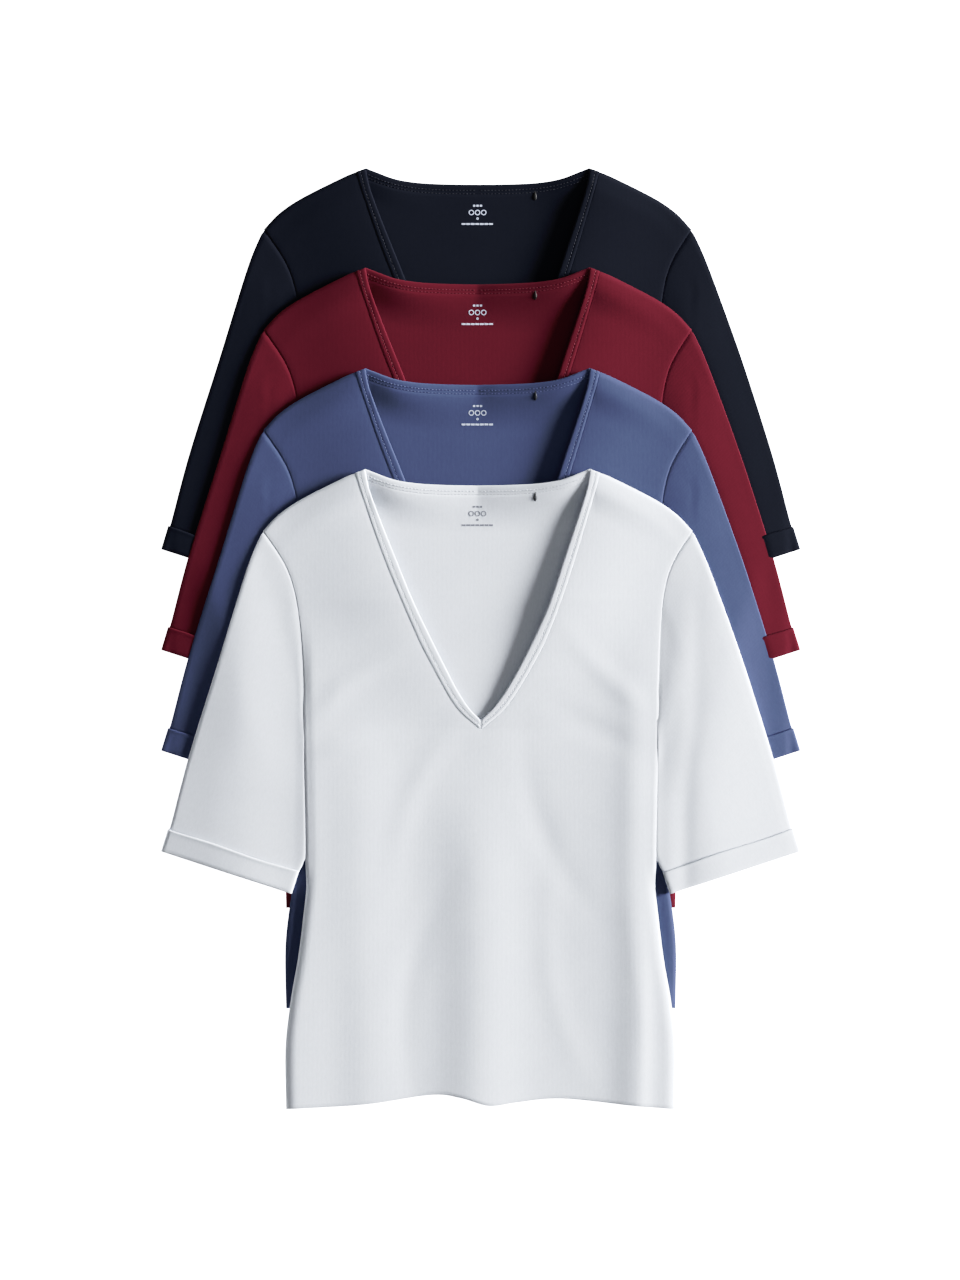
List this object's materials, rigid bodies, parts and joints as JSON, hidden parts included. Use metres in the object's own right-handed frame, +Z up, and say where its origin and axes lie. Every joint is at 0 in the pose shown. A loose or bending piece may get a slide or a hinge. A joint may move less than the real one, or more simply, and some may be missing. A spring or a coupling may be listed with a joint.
{
  "type": "stack of flat-laid v-neck t-shirts",
  "caption": "V-neck tees with turned-up elbow sleeves, laid flat on each other in a stepped stack that shows each neckline and pair of sleeves.",
  "frame": {"origin": "centre of the stack's footprint, on the surface it lies on", "axes": "+Z up from the surface, +Y from the hems to the necks, +X to the right as the stack is seen from above"},
  "size_m": [0.6016, 0.8852, 0.0194],
  "materials": {
    "navy_jersey": "matt cotton jersey",
    "burgundy_jersey": "matt cotton jersey",
    "blue_jersey": "matt cotton jersey",
    "white_jersey": "matt cotton jersey"
  },
  "bodies": {
    "root": {"navy_back": "navy_jersey", "navy_neck_binding_back": "navy_jersey", "navy_front": "navy_jersey", "navy_neck_binding_front": "navy_jersey", "navy_sleeve_left": "navy_jersey", "navy_cuff_left": "navy_jersey", "navy_sleeve_right": "navy_jersey", "navy_cuff_right": "navy_jersey", "burgundy_back": "burgundy_jersey", "burgundy_neck_binding_back": "burgundy_jersey", "burgundy_front": "burgundy_jersey", "burgundy_neck_binding_front": "burgundy_jersey", "burgundy_sleeve_left": "burgundy_jersey", "burgundy_cuff_left": "burgundy_jersey", "burgundy_sleeve_right": "burgundy_jersey", "burgundy_cuff_right": "burgundy_jersey", "blue_back": "blue_jersey", "blue_neck_binding_back": "blue_jersey", "blue_front": "blue_jersey", "blue_neck_binding_front": "blue_jersey", "blue_sleeve_left": "blue_jersey", "blue_cuff_left": "blue_jersey", "blue_sleeve_right": "blue_jersey", "blue_cuff_right": "blue_jersey", "white_back": "white_jersey", "white_neck_binding_back": "white_jersey", "white_front": "white_jersey", "white_neck_binding_front": "white_jersey", "white_sleeve_left": "white_jersey", "white_cuff_left": "white_jersey", "white_sleeve_right": "white_jersey", "white_cuff_right": "white_jersey"}
  },
  "joints": []
}
